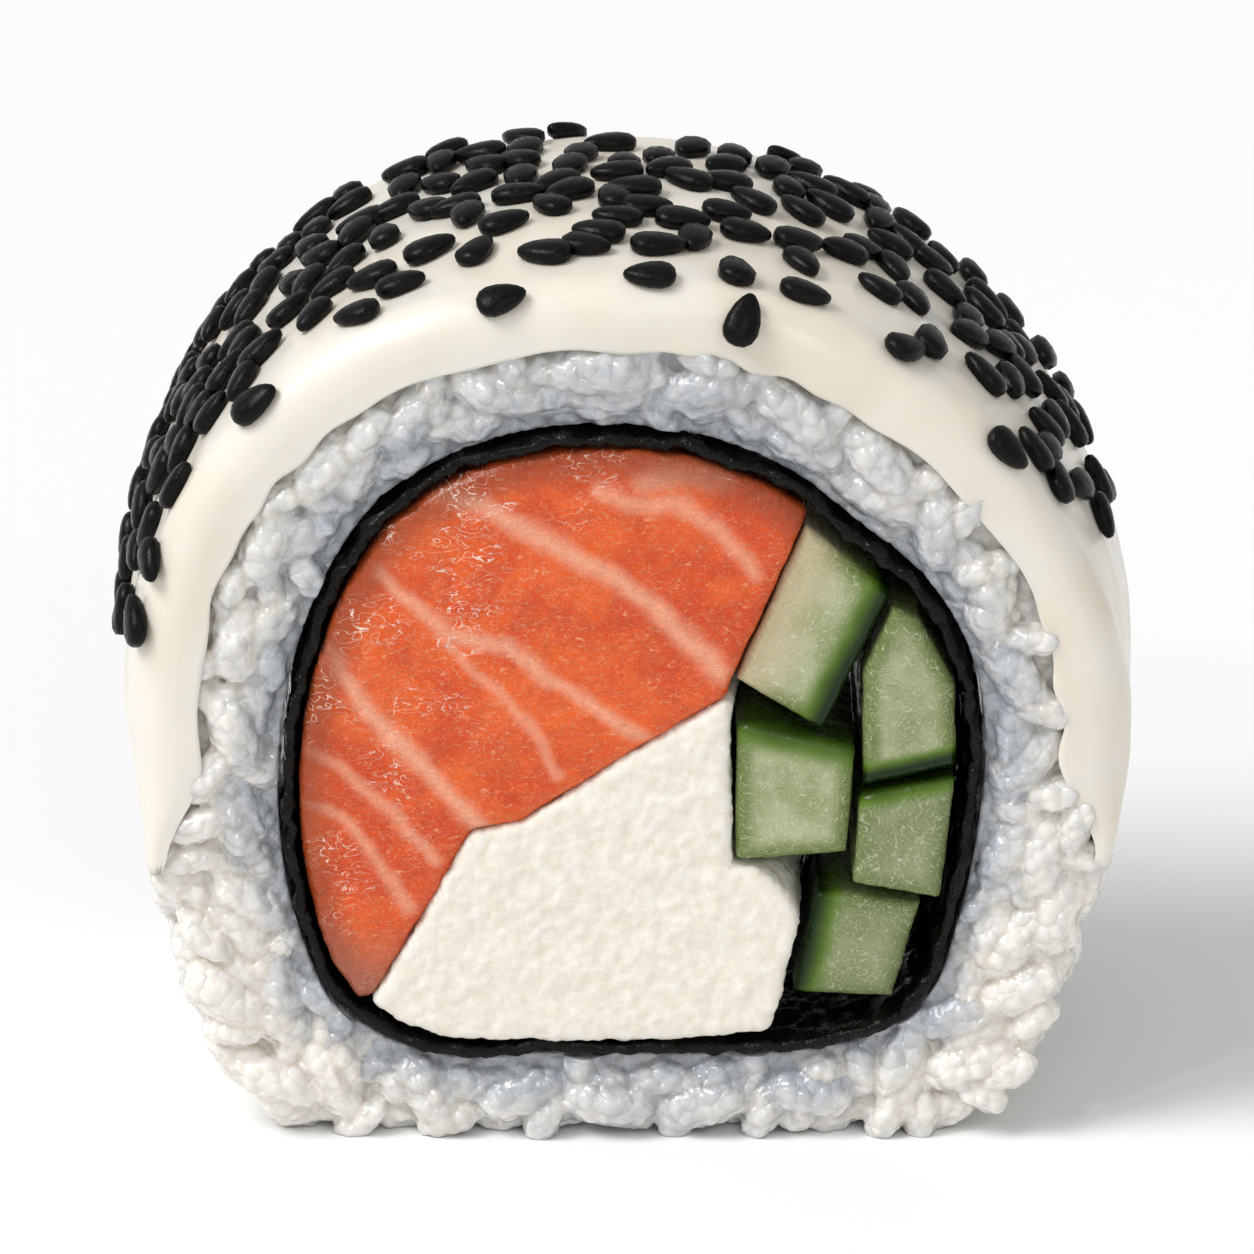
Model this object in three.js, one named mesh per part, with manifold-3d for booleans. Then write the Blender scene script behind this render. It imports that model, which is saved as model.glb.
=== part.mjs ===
// One cut piece of philadelphia roll, resting on its flat side with a cut face to the front.
// A ring of rice carries a thick creamy cover with black sesame on top. Inside the rice a sheet of nori
// wraps a wedge of salmon, a block of cream cheese and five sticks of cucumber, all running front to back.
// Millimetres. +X is to the right, +Y runs back through the roll, +Z is up.
// The origin is the middle of the flat that the piece rests on.
import * as THREE from "three";
import { mergeVertices } from "three/addons/utils/BufferGeometryUtils.js";
import Module from "manifold-3d";

// Driving dimensions of the whole piece.
const DEPTH = 27;
const HALF = DEPTH / 2;
const CENTRE_HEIGHT = 22.2;
const SWELL = 0.9; // the middle of the roll stands this much prouder than its cut faces
const GAP = 0.3; // left between neighbours that touch

// Distance from the centre line to a surface, one value every 15 degrees.
// It starts at +X and turns by way of the top.
const OUTSIDE = [
  25.1, 24.9, 24.5, 24.1, 23.9, 23.9, 24.0, 24.4, 25.0, 25.5, 25.6, 25.4,
  25.2, 25.4, 26.8, 28.6, 27.6, 25.0, 23.5, 25.0, 27.2, 27.8, 26.2, 25.2,
];
const NORI_OUTSIDE = [
  17.7, 17.4, 16.7, 15.8, 15.9, 16.0, 16.2, 16.6, 17.1, 17.5, 17.3, 17.2,
  17.5, 18.3, 19.6, 21.0, 20.2, 18.1, 17.5, 18.1, 19.8, 20.9, 19.2, 18.1,
];
const NORI_THICK = 0.6;

// The cover lies over the top and ends in a thin lip low on each side.
const COVER_THICK = 2.8;
const COVER_RIGHT_END = -16;
const COVER_LEFT_END = 197;
const COVER_TAPER = 13; // degrees over which each end thins out
const COVER_LIP = 0.35;
const COVER_RIM = 1.9; // rounding where the top turns down into a cut face

// A cooked rice grain, a black sesame seed, and how closely each kind lies.
const GRAIN = { long: 5.0, wide: 2.6, body: 1.5 }; // body is half of its straight middle
const GRAIN_ROW = 2.5;
const UNDER_ROWS = 5;
const SEED = { long: 3.0, wide: 2.1, thick: 1.15, narrowing: 0.4 };
const SEED_COUNT = 138;
const SEED_SPACING = 2.3;

const rad = THREE.MathUtils.degToRad;

// Seeded random numbers from 0 to 1, the same on every run.
function randomSource(seed) {
  let state = seed;
  return () => {
    state = (state + 0x6d2b79f5) | 0;
    let t = Math.imul(state ^ (state >>> 15), 1 | state);
    t = (t + Math.imul(t ^ (t >>> 7), 61 | t)) ^ t;
    return ((t ^ (t >>> 14)) >>> 0) / 4294967296;
  };
}

// A smooth closed curve through a table of radii, read at any angle in degrees.
function radiusFrom(table, degrees) {
  const place = (degrees / 360) * table.length;
  const first = Math.floor(place);
  const f = place - first;
  const value = (k) => table[(((first + k) % table.length) + table.length) % table.length];
  const [a, b, c, d] = [value(-1), value(0), value(1), value(2)];
  return b + 0.5 * f * (c - a + f * (2 * a - 5 * b + 4 * c - d + f * (3 * (b - c) + d - a)));
}

// The outline of the cut face, pressed flat where the piece rests.
function outsideRadius(degrees) {
  const down = Math.max(-Math.sin(rad(degrees)), 1e-3);
  return Math.min(radiusFrom(OUTSIDE, degrees), CENTRE_HEIGHT / down);
}

const noriRadius = (degrees) => radiusFrom(NORI_OUTSIDE, degrees);

// How far the side stands out beyond the cut face's outline, at a depth y.
function swell(degrees, y) {
  const onFlat = THREE.MathUtils.smoothstep(-Math.sin(rad(degrees)), 0.55, 0.8);
  return SWELL * (1 - (y / HALF) ** 2) * (1 - onFlat);
}

// Thickness of the cover, which is zero on the bare rice below it.
function coverThickness(degrees) {
  const turned = ((degrees + 90) % 360) - 90;
  const fromEnd = Math.min(turned - COVER_RIGHT_END, COVER_LEFT_END - turned);
  if (fromEnd < 0) return 0;
  return COVER_LIP + (COVER_THICK - COVER_LIP) * THREE.MathUtils.smoothstep(fromEnd, 0, COVER_TAPER);
}

const pointAt = (degrees, radius, y) =>
  new THREE.Vector3(radius * Math.cos(rad(degrees)), y, CENTRE_HEIGHT + radius * Math.sin(rad(degrees)));

// Radius of the cover's top surface, rounded over at both cut faces and gently uneven.
function coverTop(degrees, y) {
  const rim = Math.min(COVER_RIM, 0.7 * coverThickness(degrees));
  const intoRim = Math.max(rim - (HALF - Math.abs(y)), 0);
  const drop = rim - Math.sqrt(rim ** 2 - intoRim ** 2);
  const uneven = 0.12 * Math.sin(rad(5 * degrees) + 0.35 * y) + 0.08 * Math.cos(rad(9 * degrees) - 0.5 * y);
  return outsideRadius(degrees) + swell(degrees, y) + uneven - drop;
}

// Triangles that fill one ring, turning the way that the ring does. It is drawn flat by the function flat.
function fill(ring, flat) {
  const drawn = ring.map(flat);
  const triangles = THREE.ShapeUtils.triangulateShape(drawn, []);
  const areas = triangles.map((triangle) => THREE.ShapeUtils.area(triangle.map((k) => drawn[k])));
  const same = areas.reduce((a, b) => a + b) * THREE.ShapeUtils.area(drawn) > 0;
  return same ? triangles : triangles.map(([a, b, c]) => [c, b, a]);
}

// Closed mesh from rings of points. Every ring has as many points, and turns the same way.
// The rings meet in a loop, or the first and last are filled in.
function loft(rings, flat) {
  const size = rings[0].length;
  const positions = rings.flat().flatMap((p) => [p.x, p.y, p.z]);
  const index = [];
  const joins = flat ? rings.length - 1 : rings.length;
  for (let i = 0; i < joins; i++) {
    const here = i * size;
    const next = ((i + 1) % rings.length) * size;
    for (let k = 0; k < size; k++) {
      const up = (k + 1) % size;
      index.push(here + k, next + k, next + up, here + k, next + up, here + up);
    }
  }
  if (flat) {
    const last = (rings.length - 1) * size;
    index.push(...fill(rings[0], flat).flat());
    index.push(...fill(rings.at(-1), flat).flatMap(([a, b, c]) => [last + c, last + b, last + a]));
  }
  const geometry = new THREE.BufferGeometry();
  geometry.setAttribute("position", new THREE.Float32BufferAttribute(positions, 3));
  geometry.setIndex(index);
  return geometry;
}

// Stations round the centre line, from one angle to another, ends included unless it closes.
function angles(from, to, count, closed) {
  const last = closed ? count : count - 1;
  return Array.from({ length: count }, (_, i) => from + ((to - from) * i) / last);
}

const wasm = await Module();
wasm.setup();

function solidOf(geometry) {
  const bare = geometry.clone();
  bare.deleteAttribute("normal");
  bare.deleteAttribute("uv");
  const merged = mergeVertices(bare, 1e-4);
  const vertProperties = merged.getAttribute("position").array;
  const triVerts = new Uint32Array(merged.index.array);
  return new wasm.Manifold(new wasm.Mesh({ numProp: 3, vertProperties, triVerts }));
}

function geometryOf(solid) {
  const mesh = solid.getMesh();
  const geometry = new THREE.BufferGeometry();
  geometry.setAttribute("position", new THREE.Float32BufferAttribute(mesh.vertProperties, 3));
  geometry.setIndex(new THREE.Uint32BufferAttribute(mesh.triVerts, 1));
  return geometry;
}

// One solid from many, without scraps that came loose or pockets that were sealed in.
function fuse(solids, cutters) {
  const joined = cutters.reduce((rest, cutter) => rest.subtract(cutter), wasm.Manifold.union(solids));
  return joined.decompose().reduce((a, b) => (a.volume() > b.volume() ? a : b));
}

// Lays a shape on a surface: its long axis, which is Y, along, and its flat side towards out.
function lay(geometry, place, along, out) {
  const side = new THREE.Vector3().crossVectors(along, out).normalize();
  const straight = new THREE.Vector3().crossVectors(out, side).normalize();
  const turn = new THREE.Matrix4().makeBasis(side, straight, out.clone().normalize());
  return solidOf(geometry.applyMatrix4(turn.setPosition(place)));
}

// A blunt low-sided rice grain.
function grain(place, along, out, sides = 5) {
  const tip = GRAIN.long / 2 - GRAIN.body;
  const geometry = new THREE.CapsuleGeometry(tip, 2 * GRAIN.body, 1, sides);
  geometry.scale(GRAIN.wide / (2 * tip), 1, GRAIN.wide / (2 * tip));
  return lay(geometry, place, along, out);
}

function coverGeometry() {
  const stations = angles(COVER_RIGHT_END, COVER_LEFT_END, 31, false);
  const rimSteps = [HALF, HALF - 0.35, HALF - COVER_RIM];
  const outerDepths = [...rimSteps, 0, ...rimSteps.map((y) => -y).reverse()];
  const rings = stations.map((degrees) => {
    const inner = outsideRadius(degrees) - coverThickness(degrees);
    const under = [-HALF, 0, HALF].map((y) => pointAt(degrees, inner + swell(degrees, y), y));
    const top = outerDepths.map((y) => pointAt(degrees, coverTop(degrees, y), y));
    return [...under, ...top];
  });
  return loft(rings, (p) => new THREE.Vector2(Math.hypot(p.x, p.z - CENTRE_HEIGHT), p.y));
}

// The seeds in the front rows, each by its angle round the roll, its depth behind the cut face and its turn.
const FRONT_SEEDS = [
  [105.5, 0.7, 280], [76, 0.7, 355], [87.8, 1.3, 90], [77.8, 2.8, 10], [69.2, 2.6, 280], [69.5, 6.7, 210],
  [70, 9.5, 295], [76.5, 8.8, 270], [86.8, 5, 285], [93.8, 6.3, 80], [95.2, 4.7, 250], [100, 4.2, 75],
  [104.5, 8.3, 290], [107.8, 5.6, 325], [113.2, 7.3, 280], [116.8, 4.1, 265], [84, 9, 275], [88.2, 10.2, 280],
  [78.8, 10.8, 275], [103, 12.7, 260], [55.8, 1.9, 315], [47, 9.8, 140], [40.2, 8.1, 195], [39, 0.9, 270],
  [55, 8.8, 200], [57.2, 12.7, 200], [61.5, 13.1, 300], [49.8, 14.5, 240], [51.5, 17.7, 290], [42, 20.2, 260],
  [36.5, 18.7, 240], [25, 24, 165], [23.8, 19, 220], [19.2, 14.1, 315], [21, 7.8, 230], [136.8, 1.1, 260],
  [143.2, 5, 265], [134.8, 5.8, 275], [131.2, 9.2, 290], [122.2, 2.5, 70], [120.2, 6.5, 80], [125.2, 8.4, 115],
  [140.5, 8, 295], [151, 2.9, 260], [159.2, 1.3, 155], [166.5, 1.4, 320],
];

// Chance that a seed lies at a place on the cover: thick over the top, thin at the rims and low sides.
function seedChance(degrees, y) {
  const behind = THREE.MathUtils.smoothstep(y + HALF, 2.5, 7.5);
  const beforeBack = THREE.MathUtils.smoothstep(HALF - y, 0.8, 3);
  const right = THREE.MathUtils.smoothstep(degrees, 14, 34);
  const left = 1 - THREE.MathUtils.smoothstep(degrees, 158, 184);
  return behind * beforeBack * right * left;
}

function seedPlaces() {
  const random = randomSource(7);
  const places = FRONT_SEEDS.map(([degrees, behind, turn]) => ({ degrees, y: behind - HALF, turn }));
  while (places.length < SEED_COUNT) {
    const tried = { degrees: 10 + 176 * random(), y: HALF * (2 * random() - 1), turn: 180 * random() };
    const chance = random();
    const at = pointAt(tried.degrees, coverTop(tried.degrees, tried.y), tried.y);
    const clear = places.every(
      (other) => pointAt(other.degrees, coverTop(other.degrees, other.y), other.y).distanceTo(at) > SEED_SPACING,
    );
    if (clear && chance < seedChance(tried.degrees, tried.y)) places.push(tried);
  }
  return places;
}

function seedSolid({ degrees, y, turn }) {
  const step = 0.3;
  const at = pointAt(degrees, coverTop(degrees, y), y);
  const round = pointAt(degrees + step, coverTop(degrees + step, y), y).sub(at).normalize();
  const front = Math.min(y + step, HALF - 0.01);
  const back = pointAt(degrees, coverTop(degrees, front), front).sub(at).normalize();
  const out = new THREE.Vector3().crossVectors(back, round).normalize();
  const along = round.clone().multiplyScalar(Math.sin(rad(turn))).addScaledVector(back, Math.cos(rad(turn)));
  const drop = new THREE.SphereGeometry(0.5, 5, 3);
  const position = drop.getAttribute("position");
  for (let i = 0; i < position.count; i++) {
    position.setX(i, position.getX(i) * (1 - SEED.narrowing * (position.getY(i) + 0.5)));
  }
  drop.scale(SEED.wide, SEED.long, SEED.thick);
  return lay(drop, at.addScaledVector(out, 0.12 * SEED.thick), along, out);
}

// The rice core ends this far short of the grains' tips, on the cut faces and on the bare outside.
const FACE_INSET = 1.15;
const UNDER_INSET = 0.75;

function riceCore() {
  const face = HALF - FACE_INSET;
  const rings = angles(0, 360, 48, true).map((degrees) => {
    const inner = noriRadius(degrees) + GAP;
    const edge = outsideRadius(degrees) - Math.max(coverThickness(degrees) + GAP, UNDER_INSET);
    return [
      pointAt(degrees, inner, -face),
      pointAt(degrees, inner, face),
      pointAt(degrees, edge, face),
      pointAt(degrees, edge + swell(degrees, 0), 0),
      pointAt(degrees, edge, -face),
    ];
  });
  return solidOf(loft(rings));
}

// How far a leaning grain reaches across its row, and along it.
function grainReach(lean) {
  const across = GRAIN.body * Math.abs(Math.sin(lean)) + GRAIN.wide / 2 + 0.1;
  const along = Math.hypot((GRAIN.long / 2) * Math.cos(lean), (GRAIN.wide / 2) * Math.sin(lean));
  return { across, along };
}

// Rows of grains round the nori on one cut face, as many rows as the rice is wide there.
function faceGrains(side, random) {
  const grains = [];
  for (let row = 0; row < 3; row++) {
    let degrees = 8 * row;
    while (degrees < 354 + 8 * row) {
      const lean = rad(76 * (random() - 0.5));
      const { across, along } = grainReach(lean);
      const least = noriRadius(degrees) + GAP;
      const cover = Math.max(...[-7, 0, 7].map((aside) => coverThickness(degrees + aside)));
      const most = outsideRadius(degrees) - Math.max(cover + GAP, 0.1);
      const rows = Math.round((most - least) / GRAIN_ROW);
      const wanted = least + ((most - least) * (row + 0.5)) / rows;
      const radius = Math.max(Math.min(wanted, most - across), least + across);
      if (row < rows) {
        const place = pointAt(degrees, radius, side * (HALF - 1.3 - 0.4 * random()));
        const turn = rad(degrees + 90) + lean;
        const direction = new THREE.Vector3(Math.cos(turn), 0.3 * (random() - 0.5), Math.sin(turn));
        grains.push(grain(place, direction, new THREE.Vector3(0, side, 0)));
      }
      degrees += THREE.MathUtils.radToDeg((2.06 * along) / radius);
    }
  }
  return grains;
}

// Grains on the bare outside under the roll, between the two ends of the cover.
function underGrains(random) {
  const grains = [];
  for (let row = 0; row < UNDER_ROWS; row++) {
    const y = (HALF - 3.4) * ((2 * row) / (UNDER_ROWS - 1) - 1);
    let degrees = COVER_LEFT_END + 7 + (row % 2) * 4;
    while (degrees < 360 + COVER_RIGHT_END - 7) {
      const lean = rad(80 * (random() - 0.5));
      const { along } = grainReach(lean);
      const out = pointAt(degrees, 1, 0).sub(new THREE.Vector3(0, 0, CENTRE_HEIGHT));
      const round = new THREE.Vector3(-out.z, 0, out.x);
      const direction = round.multiplyScalar(Math.cos(lean)).add(new THREE.Vector3(0, Math.sin(lean), 0));
      const radius = outsideRadius(degrees) + swell(degrees, y) - 1.45;
      const place = pointAt(degrees, radius, y + 0.6 * (random() - 0.5));
      grains.push(grain(place, direction, out));
      degrees += THREE.MathUtils.radToDeg((2.25 * along) / radius);
    }
  }
  return grains;
}

// The grains that the piece rests on, with worn flats in one plane: one in the middle and four round it.
function restingGrains() {
  const places = [[0, 0], [-12, -9], [12, -9], [-12, 9], [12, 9]];
  const [right, down] = [new THREE.Vector3(1, 0, 0), new THREE.Vector3(0, 0, -1)];
  return places.map(([x, y]) => grain(new THREE.Vector3(x, y, 1), right, down, 8));
}

function riceGeometry() {
  const random = randomSource(21);
  const grains = [...faceGrains(-1, random), ...faceGrains(1, random), ...underGrains(random), ...restingGrains()];
  const floor = solidOf(new THREE.BoxGeometry(4 * DEPTH, 4 * DEPTH, DEPTH).translate(0, 0, -HALF));
  return geometryOf(fuse([riceCore(), ...grains], [floor]));
}

// The nori's cut edges are a little wavy, and stand just proud of the rice.
function noriGeometry() {
  const rings = angles(0, 360, 60, true).map((degrees) => {
    const edge = HALF - 0.15 + 0.15 * Math.sin(rad(11 * degrees));
    const outer = noriRadius(degrees);
    return [
      pointAt(degrees, outer - NORI_THICK, -edge),
      pointAt(degrees, outer - NORI_THICK, edge),
      pointAt(degrees, outer, edge),
      pointAt(degrees, outer, -edge),
    ];
  });
  return loft(rings);
}

// The same closed outline drawn in by an even margin.
function drawnIn(outline, margin) {
  return outline.map(([x, z], i) => {
    const [beforeX, beforeZ] = outline.at(i - 1);
    const [afterX, afterZ] = outline[(i + 1) % outline.length];
    const before = new THREE.Vector2(x - beforeX, z - beforeZ).normalize();
    const after = new THREE.Vector2(afterX - x, afterZ - z).normalize();
    const inward = new THREE.Vector2(-before.y - after.y, before.x + after.x).normalize();
    const reach = margin / Math.max(inward.dot(new THREE.Vector2(-before.y, before.x)), 0.5);
    return [x + inward.x * reach, z + inward.y * reach];
  });
}

// A stick with this outline in X and Z, running front to back with its cut edges taken off.
// The outline goes round against the clock. A point may carry the move that it has made by the back end.
function stick(outline, length, soft, shift = 0) {
  const ring = (back, margin) => {
    const moved = outline.map(([x, z, moveX = 0, moveZ = 0]) => [x + moveX * back, z + moveZ * back]);
    const fromFront = back * length + (back < 0.5 ? soft - margin : margin - soft);
    return drawnIn(moved, margin).map(([x, z]) => new THREE.Vector3(x, fromFront - length / 2 + shift, z));
  };
  return loft([ring(0, soft), ring(0, 0), ring(1, 0), ring(1, soft)], (p) => new THREE.Vector2(p.x, p.z));
}

// Points along the nori's inner side, between two angles, a touch inside it.
function alongNori(from, to, count) {
  return angles(from, to, count, false).map((degrees) => {
    const p = pointAt(degrees, noriRadius(degrees) - NORI_THICK - GAP, 0);
    return [p.x, p.z];
  });
}

// Where the salmon and the cheese meet, from the low left tip to the cucumber.
const SEAM = [
  [-13.3, 7.9], [-10.8, 12.2], [-8.2, 17.1], [-5.6, 17.6], [-1.9, 20.1], [1.4, 22.3], [4.8, 24.4],
];

function salmonGeometry() {
  return stick([...alongNori(54, 226, 26), ...SEAM, [5.0, 25.3], [8.4, 33.2]], DEPTH - 0.4, 0.4);
}

// The soft cheese is pressed into the gaps between the cucumber sticks, further and further towards the back.
function cheeseGeometry() {
  const seam = SEAM.map(([x, z]) => [x + 0.12, z - 0.24]).reverse();
  const lower = [[-12.0, 6.7], [-9.6, 5.75], [-4, 5.55], [2, 5.6], [6.9, 6.1], [7.5, 7.6], [7.9, 9.7], [8.5, 12.0]];
  const lowerTongue = [[8.0, 13.2, 0.95, 0.7], [7.4, 13.95, 3.3, 0.1], [6.4, 14.75, 4.3, 0.4], [5.0, 15.1]];
  const upperTongue = [[4.85, 21.6], [4.86, 22.9, 0.6, 0.55], [4.88, 23.3, 2.3, 0], [4.9, 23.75, 2.3, 0]];
  return stick([...seam, ...lower, ...lowerTongue, ...upperTongue], DEPTH - 0.6, 0.15);
}

// The five cucumber sticks: the outline of each, its length, and how far it sits forward or back.
const CUCUMBERS = [
  { outline: [[5.3, 25.2], [9.7, 22.4], [13.1, 29.8], [8.75, 33.5]], length: 26.2, shift: 0.1 },
  {
    outline: [[11.8, 19.4], [16.55, 20.5], [16.4, 24.9], [15.8, 26.1], [14.6, 28.3], [13.2, 29.1], [11.75, 25.6]],
    length: 25.8,
    shift: -0.1,
  },
  { outline: [[5.35, 15.4], [11.0, 15.8], [11.4, 21.5], [5.9, 22.95], [5.35, 22.6]], length: 26.4, shift: 0 },
  { outline: [[11.3, 14.1], [15.8, 13.3], [16.5, 19.95], [11.65, 18.95]], length: 26.2, shift: -0.15 },
  { outline: [[8.3, 7.9], [13.4, 7.6], [14.8, 12.8], [9.5, 13.5]], length: 25.9, shift: 0.2 },
];

function material(colour, roughness) {
  return new THREE.MeshStandardMaterial({ color: colour, roughness, metalness: 0 });
}

const roll = new THREE.Group();

function add(name, geometry, finish) {
  geometry.computeVertexNormals();
  const mesh = new THREE.Mesh(geometry, finish);
  mesh.name = name;
  roll.add(mesh);
}

const coverSolid = fuse([solidOf(coverGeometry()), ...seedPlaces().map(seedSolid)], []);
add("cover", geometryOf(coverSolid), material("#efe9df", 0.35));
add("rice", riceGeometry(), material("#dfe0df", 0.3));
add("nori", noriGeometry(), material("#10130f", 0.35));
add("salmon", salmonGeometry(), material("#e2622f", 0.3));
add("cream_cheese", cheeseGeometry(), material("#f4efe4", 0.6));
CUCUMBERS.forEach(({ outline, length, shift }, i) => {
  add(`cucumber_${i + 1}`, stick(outline, length, 0.3, shift), material("#a9b98a", 0.35));
});

export default roll;
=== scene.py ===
# %% [markdown]
# # A cut piece of philadelphia roll
# The plain solids of the roll give every place and size. This lesson puts the real surfaces on them: wet
# rice, a smooth creamy cover with black sesame, nori, salmon, cream cheese and cucumber. All lengths are
# written in millimetres and turned into Blender's metres where a mesh is made.

# %% Load the solids
import math
import bpy
import numpy as np
from mathutils import Matrix, Vector


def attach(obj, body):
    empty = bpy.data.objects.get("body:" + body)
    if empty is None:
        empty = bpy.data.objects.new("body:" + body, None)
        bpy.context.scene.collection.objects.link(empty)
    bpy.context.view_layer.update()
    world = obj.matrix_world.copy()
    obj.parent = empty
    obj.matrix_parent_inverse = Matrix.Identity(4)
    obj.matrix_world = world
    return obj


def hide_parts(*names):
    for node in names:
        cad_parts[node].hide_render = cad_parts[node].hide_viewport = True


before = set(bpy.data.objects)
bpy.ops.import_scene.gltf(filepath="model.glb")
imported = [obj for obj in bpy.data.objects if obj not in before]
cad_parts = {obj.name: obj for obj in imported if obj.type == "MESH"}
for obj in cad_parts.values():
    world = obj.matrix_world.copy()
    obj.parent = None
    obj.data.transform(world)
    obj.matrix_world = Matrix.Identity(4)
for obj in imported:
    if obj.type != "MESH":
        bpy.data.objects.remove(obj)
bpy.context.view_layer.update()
MM = 0.001
print("solids:", ", ".join(sorted(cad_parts)))

# %% [markdown]
# ## Camera, floor and light
# The photo is taken from 20 degrees above the table with a long lens, so the camera stands far off with a
# narrow view. The picture is bright: a white table, soft light from everywhere, and a window on the left
# that lays a grey shadow to the right. Two small lamps make the sharp glints on the wet rice and fish.

# %% Camera
AIM = Vector((-0.2, -13.5, 28.29))
CAMERA_RISE = math.radians(20.5)
CAMERA_FAR = 400
SENSOR = 36
PICTURE_WIDTH = 1254
PIXELS_PER_MM = 19.84
NEAREST_SEEN = 0.01


def deselect_all():
    if bpy.context.object and bpy.context.object.mode != "OBJECT":
        bpy.ops.object.mode_set(mode="OBJECT")
    bpy.ops.object.select_all(action="DESELECT")


deselect_all()
stand = AIM + CAMERA_FAR * Vector((0, -math.cos(CAMERA_RISE), math.sin(CAMERA_RISE)))
bpy.ops.object.camera_add(location=stand * MM, rotation=(math.pi / 2 - CAMERA_RISE, 0, 0))
camera = bpy.context.object
camera.data.sensor_width = SENSOR
camera.data.lens = SENSOR * PIXELS_PER_MM * CAMERA_FAR / PICTURE_WIDTH
camera.data.clip_start = NEAREST_SEEN
bpy.context.scene.camera = camera
print("lens", round(camera.data.lens, 1), "mm")

# %% Floor
FLOOR_SIZE = 3000
TABLE_COLOUR = (0.9, 0.9, 0.9, 1)

deselect_all()
bpy.ops.mesh.primitive_plane_add(size=FLOOR_SIZE * MM)
floor = bpy.context.object
floor.name = "table_top"
table_white = bpy.data.materials.new("table_white")
table_white.use_nodes = True
table_shader = table_white.node_tree.nodes["Principled BSDF"]
table_shader.inputs["Base Color"].default_value = TABLE_COLOUR
table_shader.inputs["Roughness"].default_value = 0.9
table_shader.inputs["Specular IOR Level"].default_value = 0.1
floor.data.materials.append(table_white)
print("floor", FLOOR_SIZE, "mm wide")

# %% Lamps
LAMPS = [
    ("front", "AREA", (120, -520, 260), 0.2),
    ("left_spark", "AREA", (-240, -320, 380), 0.2),
    ("right_spark", "AREA", (160, -380, 330), 0.1),
    ("window", "SUN", (-300, -120, 420), 2.05),
]
LAMP_SIZES = {"front": 240, "left_spark": 30, "right_spark": 24}
WINDOW_WIDTH = 28
ROOM_LIGHT = 0.53
LAMPS_AIM = Vector((0, 0, 22))


def add_lamp(name, kind, place, energy):
    deselect_all()
    toward = (LAMPS_AIM - Vector(place)).to_track_quat("-Z", "Y")
    bpy.ops.object.light_add(type=kind, location=Vector(place) * MM, rotation=toward.to_euler())
    lamp = bpy.context.object
    lamp.name = name
    lamp.data.energy = energy
    return lamp.data


for name, kind, place, energy in LAMPS:
    lamp_data = add_lamp(name, kind, place, energy)
    if kind == "SUN":
        lamp_data.angle = math.radians(WINDOW_WIDTH)
    else:
        lamp_data.size = LAMP_SIZES[name] * MM
world = bpy.data.worlds.new("white_room")
bpy.context.scene.world = world
world.use_nodes = True
world.node_tree.nodes["Background"].inputs["Color"].default_value = (1, 1, 1, 1)
world.node_tree.nodes["Background"].inputs["Strength"].default_value = ROOM_LIGHT
bpy.context.scene.view_settings.view_transform = "Standard"
print(len(LAMPS), "lamps and a white room")

# %% [markdown]
# ## The shape of the roll
# A hand-rolled piece isn't round. Its outline was measured every 15 degrees round its centre line, and
# one smooth curve through those radii gives the outside and the nori at any angle. The same numbers made
# the solids, so the new surfaces land on them.

# %% Outline curves
DEPTH = 27
HALF = DEPTH / 2
CENTRE_HEIGHT = 22.2
SWELL = 0.9
OUTSIDE = [
    25.1, 24.9, 24.5, 24.1, 23.9, 23.9, 24.0, 24.4, 25.0, 25.5, 25.6, 25.4,
    25.2, 25.4, 26.8, 28.6, 27.6, 25.0, 23.5, 25.0, 27.2, 27.8, 26.2, 25.2,
]
NORI_OUTSIDE = [
    17.7, 17.4, 16.7, 15.8, 15.9, 16.0, 16.2, 16.6, 17.1, 17.5, 17.3, 17.2,
    17.5, 18.3, 19.6, 21.0, 20.2, 18.1, 17.5, 18.1, 19.8, 20.9, 19.2, 18.1,
]


def radius_from(radii, degrees):
    radii = np.asarray(radii)
    place = np.asarray(degrees, float) / 360 * len(radii)
    first = np.floor(place).astype(int)
    f = place - first
    a, b, c, d = (radii[(first + k) % len(radii)] for k in (-1, 0, 1, 2))
    return b + 0.5 * f * (c - a + f * (2 * a - 5 * b + 4 * c - d + f * (3 * (b - c) + d - a)))


def smoothstep(x, low, high):
    t = np.clip((np.asarray(x, float) - low) / (high - low), 0, 1)
    return t * t * (3 - 2 * t)


def outside_radius(degrees):
    down = np.maximum(-np.sin(np.radians(degrees)), 1e-3)
    return np.minimum(radius_from(OUTSIDE, degrees), CENTRE_HEIGHT / down)


def swell(degrees, y):
    on_flat = smoothstep(-np.sin(np.radians(degrees)), 0.55, 0.8)
    return SWELL * (1 - (y / HALF) ** 2) * (1 - on_flat)


print("widest", round(2 * float(outside_radius(165.0)), 1), "mm")

# %% Points of a piece, in millimetres and round the centre line
def read_points(piece):
    flat = np.empty(len(piece.data.vertices) * 3)
    piece.data.vertices.foreach_get("co", flat)
    return flat.reshape(-1, 3) / MM


def write_points(piece, points):
    piece.data.vertices.foreach_set("co", (points * MM).ravel())
    piece.data.update()


def to_round(points):
    degrees = np.degrees(np.arctan2(points[:, 2] - CENTRE_HEIGHT, points[:, 0])) % 360
    return degrees, np.hypot(points[:, 0], points[:, 2] - CENTRE_HEIGHT), points[:, 1]


def from_round(degrees, radius, y):
    turn = np.radians(degrees)
    return np.stack([radius * np.cos(turn), y + 0 * turn, CENTRE_HEIGHT + radius * np.sin(turn)], -1)


print("centre line", CENTRE_HEIGHT, "mm up")

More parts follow.
